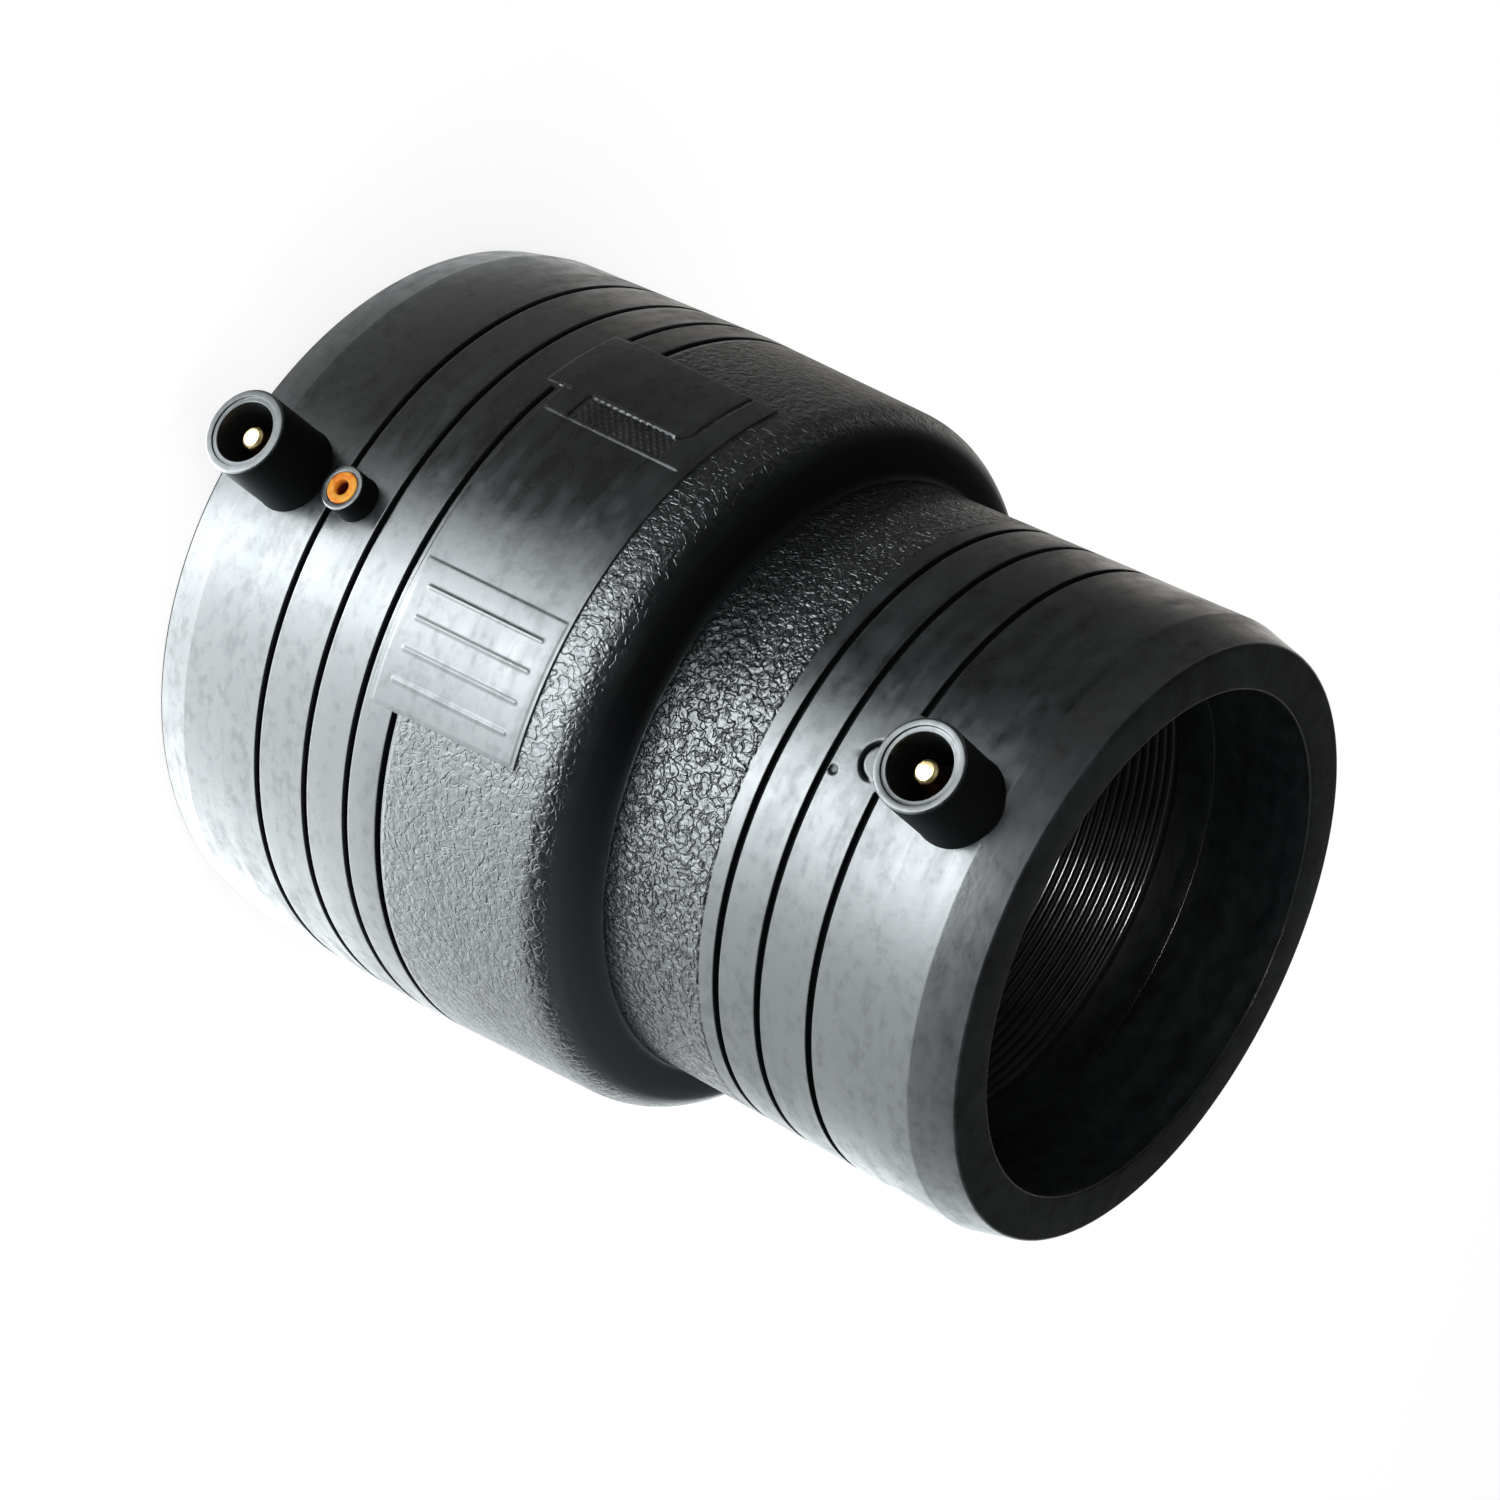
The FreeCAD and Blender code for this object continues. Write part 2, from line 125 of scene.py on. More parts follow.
def lathe(name, outline, heightOnAxis, sides=72):
    # A closed solid of revolution about the X direction: (distance from that axis, x) pairs turned once
    # round, with a pole at each end. Its mark is the distance below the highest point.
    angle = np.linspace(0, 2 * math.pi, sides, endpoint=False)
    rho, x = outline[:, 0][:, None], outline[:, 1][:, None]
    rings = np.stack([x + 0 * angle, rho * np.cos(angle), heightOnAxis + rho * np.sin(angle)], -1)
    start, stop = [outline[0, 1], 0, heightOnAxis], [outline[-1, 1], 0, heightOnAxis]
    points, quads, triangles = capped(rings, start, stop)
    below = points[:, 0].max() - points[:, 0]
    return makePiece(name, points, quads, triangles, sharp=50, below=below)


# Shader maths as expressions

class Link:
    # One socket of a node, so that sums and products on it add their Math nodes.
    def __init__(self, shader, socket):
        self.shader, self.socket = shader, socket

    def __add__(self, other):
        return self.shader.calc("ADD", self, other)

    def __radd__(self, other):
        return self.shader.calc("ADD", other, self)

    def __sub__(self, other):
        return self.shader.calc("SUBTRACT", self, other)

    def __rsub__(self, other):
        return self.shader.calc("SUBTRACT", other, self)

    def __mul__(self, other):
        return self.shader.calc("MULTIPLY", self, other)

    def __rmul__(self, other):
        return self.shader.calc("MULTIPLY", other, self)

    def __truediv__(self, other):
        return self.shader.calc("DIVIDE", self, other)

    def __rtruediv__(self, other):
        return self.shader.calc("DIVIDE", other, self)

    def clamp(self, low, high):
        return self.shader.node("ShaderNodeClamp", {}, {"Value": self, "Min": low, "Max": high})[0]

    def rise(self, start, stop):
        # 0 below start, 1 above stop, smooth between
        return self.shader.node("ShaderNodeMapRange", {"interpolation_type": "SMOOTHSTEP"},
                                {"Value": self, "From Min": start, "From Max": stop})[0]

    def between(self, start, full, leave, stop):
        # rises to 1 from start to full and falls back to 0 from leave to stop
        return self.rise(start, full) * (1 - self.rise(leave, stop))


class Shader:
    # The nodes of one material, or of the world.
    def __init__(self, name, material=None):
        self.material = material or bpy.data.materials.new(name)
        self.material.use_nodes = True
        self.tree = self.material.node_tree
        self.tree.nodes.clear()

    def node(self, kind, settings=None, inputs=None):
        node = self.tree.nodes.new(kind)
        for key, value in (settings or {}).items():
            setattr(node, key, value)
        for key, value in (inputs or {}).items():
            if isinstance(value, Link):
                self.tree.links.new(value.socket, node.inputs[key])
            else:
                node.inputs[key].default_value = value
        return [Link(self, socket) for socket in node.outputs if socket.enabled]

    def calc(self, operation, first, second=None):
        # a Math node on links or numbers
        inputs = {0: first} if second is None else {0: first, 1: second}
        return self.node("ShaderNodeMath", {"operation": operation}, inputs)[0]

    def largest(self, first, *others):
        for other in others:
            first = self.calc("MAXIMUM", first, other)
        return first

    def mark(self, name):
        # the numbers that makePiece put on the points
        return self.node("ShaderNodeAttribute", {"attribute_name": name})[2]

    def place(self, stretch=(1, 1, 1)):
        # object coordinates in metres, stretched
        there = self.node("ShaderNodeTexCoord")[3]
        return self.node("ShaderNodeMapping", {}, {"Vector": there, "Scale": stretch})[0]

    def axes(self, vector):
        return self.node("ShaderNodeSeparateXYZ", {}, {0: vector})

    def noise(self, stretch, scale, detail=2.0, roughness=0.5, distortion=0.0):
        inputs = {"Vector": self.place(stretch), "Scale": scale, "Detail": detail,
                  "Roughness": roughness, "Distortion": distortion}
        return self.node("ShaderNodeTexNoise", {}, inputs)[0]

    def mixColour(self, factor, first, second):
        return self.node("ShaderNodeMix", {"data_type": "RGBA"}, {0: factor, 6: first, 7: second})[0]

    def bump(self, height, distance, strength=1.0, under=None):
        inputs = {"Height": height, "Distance": distance, "Strength": strength}
        if under is not None:
            inputs["Normal"] = under
        return self.node("ShaderNodeBump", {}, inputs)[0]

    def surface(self, **inputs):
        named = {key.replace("_", " "): value for key, value in inputs.items()}
        return self.node("ShaderNodeBsdfPrincipled", {}, named)[0]

    def glow(self, colour, strength):
        return self.node("ShaderNodeEmission", {}, {"Color": colour, "Strength": strength})[0]

    def both(self, first, second):
        return self.node("ShaderNodeAddShader", {}, {0: first, 1: second})[0]

    def finish(self, surface):
        self.node("ShaderNodeOutputMaterial", {}, {"Surface": surface})
        return self.material


def dress(piece, material):
    piece.data.materials.clear()
    piece.data.materials.append(material)


# The moulding's finish

polyethylene = {
    "black": (0.0040, 0.0045, 0.0050, 1),
    "worn": (0.0105, 0.0120, 0.0130, 1),
    # darker colour of the dull surface, which also serves as painted shade
    "dull": (0.0030, 0.0033, 0.0036, 1),
    "paintedLight": (0.026, 0.028, 0.034, 1),   # painted light: the crown is greyer on its lit side
    "roughness": 0.24,
    "wearRoughness": 0.22,
    "strokeRoughness": 0.14,
    "dullRoughness": 0.60,       # outer walls of the shrouds; painted shade in lines and at the foot of the neck
    "refraction": 1.51,
    "dullRefraction": 1.12,
    # noises: stretch along x, y and z, scale, and where given detail, roughness and distortion
    "noises": {
        "rub": ((14, 14, 160), 1.0, 3.0, 0.6),             # streaks round the socket
        "cloud": ((1, 1, 1), 38.0, 4.0, 0.62),             # uneven sheen
        "speck": ((1, 1, 1), 1300.0, 2.0, 0.6),
        "blotch": ((220, 220, 330), 1.0, 3.0, 0.6),
        "stroke": ((16, 16, 620), 1.0, 2.0),               # fine strokes round the socket
        "wave": ((30, 30, 90), 1.0, 2.0),
        "patch": ((1, 1, 1.4), 330.0, 3.0, 0.65),
        "wander": ((1, 1, 1), 480.0, 1.0, 0.5),
        "pebble": ((1, 1, 1), 750.0, 1.0, 0.45, 0.7),
        "crease": ((1, 1, 0.9), 530.0, 1.0, 0.4, 0.5),
    },
    "bumps": {"speck": (0.00002, 0.6), "blotch": (0.00009, 0.35), "wave": (0.0005, 0.25)},
    "wearShares": (0.38, 0.30, 0.32),    # rub, cloud, blotch
    "wearFrom": (0.36, 0.68),
    "hazeShares": (0.6, 0.25, 0.15),     # patch, cloud, stroke
    "hazeFrom": (0.47, 0.62),
    "haze": 0.20,
    "lineFrom": (0.15, 0.6),     # mm below the surface over which painted shade comes into cut lines and marks
    # mm up the axis where each zone starts, is full, starts to leave and has left
    "neckGrain": (96.6, 97.4, 117.1, 117.9),
    "socketGrain": (57.1, 57.7, 90.5, 93.5),
    "socketShare": 0.45,         # the grain is finer on the large socket
    "grainRoughness": 0.34,
    "grainHeight": 0.00040,
    "grainSize": 1.5,            # mm from pebble to pebble
    "grainShares": (0.55, 0.40, 0.25, 0.55),   # pebbles, cells, wander, creases
    "pebbleFrom": (0.34, 0.66),
    "creaseWidth": 0.050,
    # painted shade in the grain's creases
    "creaseShade": 0.45,
    # painted shade of the crown and the foot of the neck, darker and duller: zones like the grain's, then
    # strengths
    "foot": (90.8, 94.6, 97.0, 102.6), "footShade": 0.80, "footMore": 0.13,
    "footTurned": (90.8, 94.6, 103, 111), "footTurnedShade": 0.72,
    "footCorner": (92.6, 94.0, 95.6, 97.2), "footCornerShade": 0.96,
    "turnedFrom": (-8, 12),      # mm along y; the side below that is turned from the light and gets more painted shade
    # painted light on the crown: heights like the grain's, and mm along y over which it grows to the lit
    # side
    "crown": (90.5, 93.0, 95.4, 97.4), "paintedLightFrom": (5, 65),
}


def mouldingMaterial(name, grained):
    # Two surfaces, a satin one and a dull one, mixed by how dull each place is; the dull one, darker, also
    # serves as painted shade in cut lines and marks, wells, creases and at the crown and the foot of the
    # neck. Wear makes the satin one paler and rougher, and the bumps of speck, blotch, wave and grain are
    # laid over each other. The crown's lit side gets painted light.
    p = polyethylene
    s = Shader(name)
    _, y, z = s.axes(s.node("ShaderNodeTexCoord")[3])
    y, height = y * 1000, z * 1000

    def noise(kind):
        return s.noise(*p["noises"][kind])

    rub, cloud, speck, blotch, stroke = map(noise, ("rub", "cloud", "speck", "blotch", "stroke"))
    a, b, c = p["wearShares"]
    wear = (rub * a + cloud * b + blotch * c).rise(*p["wearFrom"])
    rough = p["roughness"] + wear * p["wearRoughness"] + (stroke - 0.5) * p["strokeRoughness"]
    normal = None
    for kind, relief in (("speck", speck), ("blotch", blotch), ("wave", noise("wave"))):
        normal = s.bump(relief, *p["bumps"][kind], normal)
    a, b, c = p["hazeShares"]
    haze = (noise("patch") * a + cloud * b + stroke * c).rise(*p["hazeFrom"])
    # painted shade in the cut lines and marks, by how deep they are cut
    grooveShade = (0 - s.mark("cut")).rise(*p["lineFrom"])
    # the shrouds' matt outer walls, and painted shade in their wells
    dull = s.largest(grooveShade, s.mark("matt"), haze * p["haze"])
    if grained:
        onNeck, onSocket = height.between(*p["neckGrain"]), height.between(*p["socketGrain"])
        inGrain = onNeck + onSocket
        relief = onNeck + onSocket * p["socketShare"]
        pebbles = noise("pebble").rise(*p["pebbleFrom"])
        cells = s.node("ShaderNodeTexVoronoi", {"feature": "F1"},
                       {"Vector": s.place(), "Scale": 1000 / p["grainSize"], "Randomness": 1.0})[0]
        # winding creases, where a noise crosses its middle value; they get painted shade below
        flat = s.calc("ABSOLUTE", noise("crease") - 0.5).rise(0, p["creaseWidth"])
        a, b, c, d = p["grainShares"]
        leather = pebbles * a - cells * b + noise("wander") * c + flat * d
        normal = s.bump(leather * relief, p["grainHeight"], 1.0, normal)
        rough = rough * (1 - inGrain) + inGrain * p["grainRoughness"]
        # painted shade: little light reaches the crown and the foot of the neck, which stand in each other's
        # shade
        away = 1 - y.rise(*p["turnedFrom"])
        foot = height.between(*p["foot"]) * (away * p["footMore"] + p["footShade"])
        footTurned = height.between(*p["footTurned"]) * away * p["footTurnedShade"]
        corner = height.between(*p["footCorner"]) * p["footCornerShade"]
        dull = s.largest(dull, (1 - flat) * relief * p["creaseShade"], foot, footTurned, corner)
    colour = s.mixColour(wear, p["black"], p["worn"])
    colour = s.mixColour(dull, colour, p["dull"])
    if grained:
        # painted light: the crown is made greyer towards its lit side
        paintedLight = height.between(*p["crown"]) * y.rise(*p["paintedLightFrom"])
        colour = s.mixColour(paintedLight, colour, p["paintedLight"])
    satin = s.surface(Base_Color=colour, Roughness=rough.clamp(0.05, 1), Normal=normal, IOR=p["refraction"])
    plain = s.surface(Base_Color=colour, Roughness=p["dullRoughness"], Normal=normal,
                      IOR=p["dullRefraction"])
    return s.finish(s.node("ShaderNodeMixShader", {}, {0: dull, 1: satin, 2: plain})[0])


grainedBlack = mouldingMaterial("grainedBlack", True)
smoothBlack = mouldingMaterial("smoothBlack", False)


# Moulding: sockets, shoulder and bores in one turned shell

shell = {
    "length": 169.3,
    "large": 68.5, "largeFace": 67.1, "largeTaper": 7.8, "largeBore": 55.5, "largeStop": 77.0,
    "small": 55.75, "smallFace": 53.55, "smallTaper": 8.0, "smallBore": 45.25, "smallStop": 107.3,
    "draftStart": 50.9, "crown": (66.375, 93.85, 8.9), "neck": (55.75, 95.72, 2.0),
    "mouthStep": 0.15, "mouthEnd": 149.3,
    "throat": (36.8, 45.0),
    "largeWinding": (27.5, 57.42), "smallWinding": (120.68, 141.8), "bed": 0.75,
    # roundings
    "edgeRound": 0.6, "faceRound": 0.8, "taperRound": 1.5, "mouthRound": 0.14, "bedRound": 0.15,
    "stopRound": 0.5, "throatRound": 1.0,
    "lines": [                   # height, azimuths between which the line is left out
        (26.65, None), (38.46, None), (48.51, (-45.0, -29.4)), (56.17, (-45.0, 24.85)),
        (121.38, None), (130.20, None), (141.04, (-9.9, 4.6)),
    ],
    "lineAcross": [0, 0.40, 0.56, 0.64, 0.78, 0.95],     # mm from a line's middle, and the cut there
    "lineCut": [-1.25, -1.20, -0.85, -0.06, 0, 0],
    "lineEnd": 0.3,              # degrees over which a line runs out
    # a slot round a circle and a dimple; fine rows reach as far below and above them as the margins say
    "ringMark": {"azimuth": 0, "height": 138.85, "radius": 3.30, "half": 0.30, "depth": 0.85,
                 "margins": (0.6, 0.6)},
    "gateMark": {"azimuth": 4.29, "height": 131.86, "radius": 1.00, "edge": 0.5, "depth": 0.42,
                 "margins": (0.1, 0.3)},
    "rowPitch": (2.6, 9.0), "fineRow": 0.24,   # mm between rows outside, inside and at the marks
    "columnPitch": 1.6, "fineColumns": (-4.5, 5.51, 0.25), "stopColumns": [-0.35, -0.15, 0, 0.15, 0.35],
}


def bedCorners(bore, zone):
    # corners of a winding's bed, from its upper end down
    low, high = zone
    steps = [(bore, high), (bore + shell["bed"], high), (bore + shell["bed"], low), (bore, low)]
    return [(*step, shell["bedRound"]) for step in steps]


def shellOutline():
    # Up the outside, over the small end face and down both bores; with it the count of its outer points.
    d = shell
    top, mouth = d["length"], d["smallBore"] + d["mouthStep"]
    outer = [
        (d["largeFace"], 0, d["edgeRound"]), (d["large"], d["largeTaper"], d["taperRound"]),
        (d["large"], d["draftStart"], 0), d["crown"], d["neck"],
        (d["small"], top - d["smallTaper"], d["taperRound"]), (d["smallFace"], top, d["faceRound"]),
    ]
    inner = [
        (mouth, top, d["edgeRound"]), (mouth, d["mouthEnd"], 0),
        (d["smallBore"], d["mouthEnd"], d["mouthRound"]),
        *bedCorners(d["smallBore"], d["smallWinding"]),
        (d["smallBore"], d["smallStop"], d["stopRound"]), (d["throat"][0], d["smallStop"], d["throatRound"]),
        (d["throat"][1], d["largeStop"], d["throatRound"]), (d["largeBore"], d["largeStop"], d["stopRound"]),
        *bedCorners(d["largeBore"], d["largeWinding"]),
        (d["largeBore"], 0, d["edgeRound"]),
    ]
    return softCorners(outer + inner), len(softCorners(outer + [inner[0]], closed=False)) - 1


def shellRows():
    # The outline with long runs divided and extra rows where a line or a mark is cut; with it, for each
    # row, whether it is on the outside.
    outline, outerCount = shellOutline()
    closed = np.concatenate([outline, outline[:1]])
    along = np.concatenate([[0], np.cumsum(np.linalg.norm(np.diff(closed, axis=0), axis=1))])
    middle = (along[1:] + along[:-1]) / 2
    outerEnd = along[outerCount - 1]
    parts = np.ceil(np.diff(along) / np.where(middle < outerEnd, *shell["rowPitch"]))
    parts = np.maximum(1, parts).astype(int)
    places = [np.linspace(a, b, n, endpoint=False) for a, b, n in zip(along[:-1], along[1:], parts)]
    across = np.array(shell["lineAcross"])
    heights = [z + np.concatenate([-across, across]) for z, gap in shell["lines"]]
    for spot in (shell["ringMark"], shell["gateMark"]):
        z, radius, (below, above) = spot["height"], spot["radius"], spot["margins"]
        heights.append(np.arange(z - radius - below, z + radius + above, shell["fineRow"]))
    places.append(np.interp(np.concatenate(heights), outline[:outerCount, 1], along[:outerCount]))
    places = np.unique(np.round(np.concatenate(places), 2))
    rows = np.stack([np.interp(places, along, closed[:, 0]), np.interp(places, along, closed[:, 1])], -1)
    return rows, places <= outerEnd


def shellColumns():
    # azimuths in degrees: even, with more at the marks and where a line stops
    stops = [azimuth for z, gap in shell["lines"] if gap for azimuth in gap]
    parts = [np.arange(-180, 180, shell["columnPitch"]), np.arange(*shell["fineColumns"])]
    parts += [azimuth + np.array(shell["stopColumns"]) for azimuth in stops]
    return np.unique(np.round(np.concatenate(parts), 2))


def fromSpot(azimuth, height, spot):
    # distance along the small socket's surface
    return np.hypot(np.radians(azimuth - spot["azimuth"]) * shell["small"], height - spot["height"])


def shellRelief(azimuth, height):
    # Depth of the ring lines, each a rounded slot, of the ring mark, a slot round a circle that tapers out
    # towards the shroud, and of the gate mark, a round dimple.
    relief = np.zeros(np.broadcast(azimuth, height).shape)
    for z, gap in shell["lines"]:
        slot = np.interp(np.abs(height - z), shell["lineAcross"], shell["lineCut"])
        if gap:
            centre, half = (gap[0] + gap[1]) / 2, (gap[1] - gap[0]) / 2
            slot = slot * ease((np.abs(azimuth - centre) - half) / shell["lineEnd"])
        relief = relief + slot
    ring, gate = shell["ringMark"], shell["gateMark"]
    distance = np.maximum(fromSpot(azimuth, height, ring), 0.1)
    left = ease(((ring["height"] - height) / distance + 0.2) / 0.7)
    width = ring["half"] * (0.5 + 0.5 * left)
    relief = relief - ring["depth"] * left * np.exp(-((distance - ring["radius"]) / width) ** 2)
    return relief - gate["depth"] * ease((gate["radius"] - fromSpot(azimuth, height, gate)) / gate["edge"])


def makeShell():
    # A ring of columns, each the closed outline, pushed in by the relief on the outer rows.
    rows, outer = shellRows()
    columns = shellColumns()
    azimuth, height = np.meshgrid(columns, rows[:, 1])
    relief = np.where(outer[:, None], shellRelief(azimuth, height), 0)
    points = turned(rows[:, 0][:, None] + relief, np.radians(azimuth), height).reshape(-1, 3)
    quads = gridFaces(len(rows), len(columns), wrapRows=True)
    # the relief's depth is also the mark for painted shade in the lines and marks
    piece = makePiece("mouldedShell", points, quads, cut=relief, sharp=55)
    dress(piece, grainedBlack)
    print("shell", len(rows), "rows", len(columns), "columns", len(quads) * 2, "triangles")
    return piece


mouldedShell = makeShell()


# Data panel, raised on the large socket

panel = {
    "rise": 0.3, "sunk": -1.5, "edge": 0.22, "tabEdge": 2.2,
    "field": (-29.4, 24.85, 50.0, 82.8),   # azimuths, heights
    "tab": (-45.0, -29.4, 45.3, 82.8),
    "plate": (2.8, 24.3, 51.2, 81.7), "plateRise": 0.14, "plateEdge": 0.35,
    "rules": [6.6, 11.2, 15.8, 20.4], "ruleEnds": (54.2, 78.8), "ruleRise": 0.24, "ruleHalf": 0.6,
    "insert": (-30.1, -25.3, 56.2, 76.0), "insertSink": 0.16, "insertEdge": 0.5,
    "pip": (1.6, 1.5, 0.30),     # across, along, rise
    "lips": [(-30.3, 56.0, 74.9), (-25.0, 51.2, 80.4), (-29.9, 48.9, 51.8)], "lipRise": 0.34, "lipHalf": 0.5,
    # grooves: azimuths at its start, bend and end, height up to the bend and at the end
    "scribes": [(-44.2, -31.8, -29.5, 77.1, 74.9), (-30.2, -25.6, -25.4, 55.9, 55.9)],
    # the grooves' depth and half width, and the depth put on their mark, which the material turns into
    # painted shade
    "scribeDepth": 0.5, "scribeHalf": 0.62, "scribeShade": 0.9,
    "margin": 0.5, "pitch": 0.25, "poleRadius": 60,
}


def within(azimuth, height, zone, edge, radius):
    # 1 inside a rectangle of azimuths and heights, easing to 0 over the edge's width
    low, high, bottom, top = zone
    across = [np.radians(azimuth - low) * radius, np.radians(high - azimuth) * radius]
    return ease(np.minimum.reduce([*across, height - bottom, top - height]) / edge + 0.5)


def bar(azimuth, height, place, ends, halfWidth, radius):
    # a thin rounded ridge along the axis
    across = np.radians(azimuth - place) * radius
    along = np.maximum(np.maximum(ends[0] - height, height - ends[1]), 0)
    return ease(1 - np.hypot(across, along) / halfWidth)


def scribedLines(azimuth, height, radius):
    # 1 along the middle of each groove, easing to 0 at its sides
    p = panel
    scribed = 0 * azimuth
    for start, bendAt, stop, level, last in p["scribes"]:
        beyond = np.radians(np.maximum(np.maximum(start - azimuth, azimuth - stop), 0)) * radius
        bent = level + (last - level) * np.clip((azimuth - bendAt) / (stop - bendAt), 0, 1)
        scribed = np.maximum(scribed, ease(1 - np.hypot(height - bent, beyond) / p["scribeHalf"]))
    return scribed


def panelDetail(azimuth, height, radius):
    # Heights on the panel: a raised plate with rules, a sunk insert with pips, which are a product of two
    # sines, and lips.
    p = panel
    detail = p["plateRise"] * within(azimuth, height, p["plate"], p["plateEdge"], radius)
    for place in p["rules"]:
        detail = detail + p["ruleRise"] * bar(azimuth, height, place, p["ruleEnds"], p["ruleHalf"], radius)
    across, along, rise = p["pip"]
    pips = np.sin(np.radians(azimuth) * radius * 2 * math.pi / across) * np.sin(height * 2 * math.pi / along)
    inside = within(azimuth, height, p["insert"], p["insertEdge"], radius)
    detail = detail + inside * (rise * ease(pips) - p["insertSink"])
    for place, *ends in p["lips"]:
        detail = detail + p["lipRise"] * bar(azimuth, height, place, ends, p["lipHalf"], radius)
    return detail


def makePanel():
    # The socket's own surface lifted by the panel's height, sunk below the socket outside its outline,
    # and closed to one point inside the wall.
    p, d = panel, shell
    low, high = p["tab"][0] - p["margin"], p["field"][1] + p["margin"]
    bottom, top = p["tab"][2] - p["margin"], p["tab"][3] + p["margin"]
    columns = np.linspace(low, high, int(np.radians(high - low) * d["large"] / p["pitch"]))
    heights = np.linspace(bottom, top, int((top - bottom) / p["pitch"]))
    azimuth, height = np.meshgrid(columns, heights)
    slope = (d["large"] - d["crown"][0]) / (d["crown"][1] - d["draftStart"])
    plain = d["large"] - slope * np.maximum(height - d["draftStart"], 0)
    joined = (p["tab"][0], *p["field"][1:])
    zones = [(p["field"], p["edge"]), (p["tab"], p["tabEdge"]), (joined, p["edge"])]
    raised = np.maximum.reduce([within(azimuth, height, zone, edge, plain) for zone, edge in zones])
    scribed = scribedLines(azimuth, height, plain)
    detail = panelDetail(azimuth, height, plain) - p["scribeDepth"] * scribed
    radius = plain + p["sunk"] + raised * (p["rise"] - p["sunk"] + detail)
    points = turned(radius, np.radians(azimuth), height).reshape(-1, 3)
    rows, count = len(heights), len(columns)
    index = np.arange(rows * count).reshape(rows, count)
    rim = np.concatenate([index[0], index[1:, -1], index[-1, -2::-1], index[-2:0:-1, 0]])
    pole = turned(p["poleRadius"], math.radians(columns.mean()), (bottom + top) / 2)
    # the grooves' mark gives them painted shade in the material
    piece = makePiece("dataPanel", np.concatenate([points, [pole]]),
                      gridFaces(rows, count, wrapColumns=False), fanFaces(rim, rows * count, flip=True),
                      cut=np.append(-p["scribeShade"] * scribed, 0))
    dress(piece, smoothBlack)
    print("panel", rows, "rows", count, "columns")


makePanel()


# Terminal shrouds and the indicator's boss

shrouds = {
    "largeShroud": {"height": 15.3, "surface": 68.5},
    "smallShroud": {"height": 154.2, "surface": 55.75},
}
shroudForm = {
    "outside": 7.8, "inside": 5.5, "rise": 15.5, "floor": 1.0, "fillet": 0.12, "rimRound": 0.55,
    "step": {"outside": 6.4, "depth": 0.30, "rounds": (0.12, 0.1, 0.25)}, "around": 128,
}
bossForm = {
    "height": 31.15, "surface": 68.5, "outside": 4.1, "inside": 2.95, "rise": 5.0, "floor": 0.0,
    "fillet": 0.10, "rimRound": 0.3, "innerRound": 0.15, "around": 96,
}


def rimOutline(form, rim, floor):
    # up the outer wall, over the rim with its step, if it has one, down the well and in along its floor
    outside, inside = form["outside"], form["inside"]
    corners = [(outside, rim - 3, 0), (outside, rim, form["rimRound"])]
    if "step" in form:
        step, (first, second, third) = form["step"], form["step"]["rounds"]
        level = rim - step["depth"]
        corners += [(step["outside"], rim, first), (step["outside"], level, second), (inside, level, third)]
    else:
        corners += [(inside, rim, form["innerRound"])]
    return softCorners(corners + [(inside, floor, 0.3), (0.3, floor, 0)], closed=False)


def standingRing(name, form):
    # Turned about an axis along X. The foot's rows follow the socket: a point there lies at the socket's
    # surface plus a lift that rises through a fillet. The rows above it are the rim's outline. The outer
    # wall, short of the rim's round, is marked matt, and the well is marked for painted shade.
    angle = np.linspace(0, 2 * math.pi, form["around"], endpoint=False)
    surface, rim = form["surface"], form["surface"] + form["rise"]
    floor, fillet, outside = surface + form["floor"], form["fillet"], form["outside"]
    t = np.linspace(0, math.pi / 2, 6)
    footRho = np.concatenate([[outside + fillet + 0.3], outside + fillet * (1 - np.sin(t))])
    footLift = np.concatenate([[-0.5], fillet * (1 - np.cos(t))])
    upper = rimOutline(form, rim, floor)
    rho = np.concatenate([footRho, upper[:, 0]])[:, None]
    across, up = rho * np.cos(angle), rho * np.sin(angle)
    atFoot = np.sqrt(surface ** 2 - across[:len(footRho)] ** 2) + footLift[:, None]
    x = np.concatenate([atFoot, upper[:, 1][:, None] + 0 * across[len(footRho):]])
    start, stop = [surface - 4, 0, form["height"]], [floor, 0, form["height"]]
    rings = np.stack([x, across, form["height"] + up], -1)
    points, quads, triangles = capped(rings, start, stop)
    fromAxis = np.hypot(points[:, 1], points[:, 2] - form["height"])
    wall = (points[:, 0] < rim - 0.6 * form["rimRound"]) & (fromAxis > form["inside"] + 0.5)
    # the well is darkened and dulled as painted shade; the outer wall is matt
    well = points[:, 0] < rim - 1.0
    piece = makePiece(name, points, quads, triangles, sharp=50, matt=wall | well)
    dress(piece, smoothBlack)


for name, place in shrouds.items():
    standingRing(name, {**shroudForm, **place})
standingRing("indicatorBoss", bossForm)
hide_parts("body")
print("shrouds and boss done")


# Contact pins

